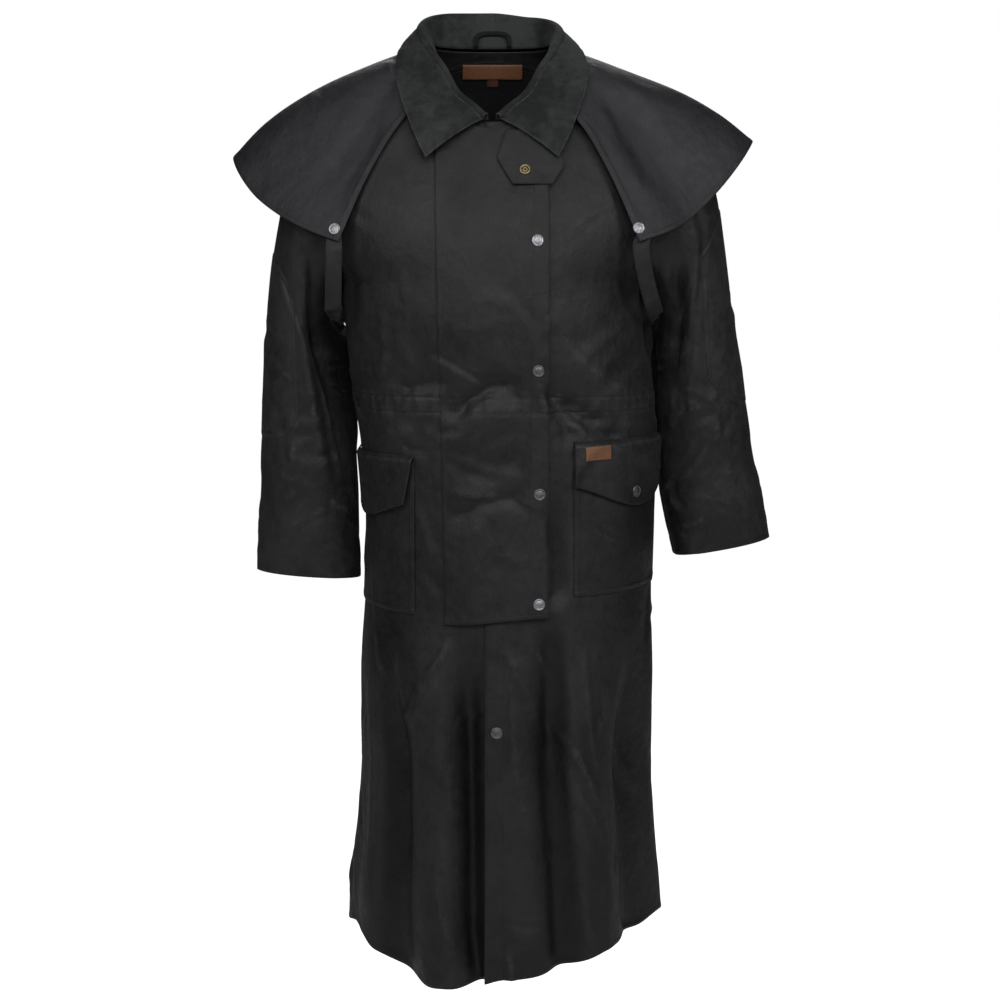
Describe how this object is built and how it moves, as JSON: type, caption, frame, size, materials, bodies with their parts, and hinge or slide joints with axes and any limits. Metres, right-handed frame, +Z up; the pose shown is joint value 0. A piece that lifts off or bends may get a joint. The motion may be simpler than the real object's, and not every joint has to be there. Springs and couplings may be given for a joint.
{
  "type": "duster coat",
  "caption": "Long waxed cotton riding duster, worn shape and hollow, with turned-down collar, shoulder cape, snapped storm flap, throat tab, flap pockets and cape straps.",
  "frame": {"origin": "midway between the wearer's shoulders at the height of the neck seam, where the shoulders carry the coat", "axes": "+Z up along the coat's length, +X towards the wearer's left, +Y towards the wearer's back"},
  "size_m": [0.715, 0.4267, 1.2535],
  "materials": {
    "waxed_cotton": "black waxed cotton, faint sheen with pale creases",
    "collar_cloth": "matte, brushed, dark grey",
    "lining_cloth": "plain weave, near black",
    "leather": "tan, smooth",
    "nickel": "antique nickel, brushed",
    "brass": "antique brass"
  },
  "bodies": {
    "root": {"back_body": "waxed_cotton", "front_left": "waxed_cotton", "front_right": "waxed_cotton", "sleeve_left": "waxed_cotton", "sleeve_right": "waxed_cotton", "elbow_patch_left": "waxed_cotton", "elbow_patch_right": "waxed_cotton", "cape": "waxed_cotton", "cape_strap_left": "waxed_cotton", "cape_strap_right": "waxed_cotton", "storm_flap": "waxed_cotton", "throat_tab": "waxed_cotton", "pocket_left": "waxed_cotton", "pocket_right": "waxed_cotton", "pocket_flap_left": "waxed_cotton", "pocket_flap_right": "waxed_cotton", "hanger_loop": "waxed_cotton", "collar": "collar_cloth", "back_lining": "lining_cloth", "neck_label": "leather", "pocket_label": "leather", "snap_flap_1": "nickel", "snap_flap_2": "nickel", "snap_flap_3": "nickel", "snap_flap_4": "nickel", "snap_overlap": "nickel", "snap_cape_left": "nickel", "snap_cape_right": "nickel", "snap_pocket_left": "nickel", "snap_throat": "brass"}
  },
  "joints": []
}
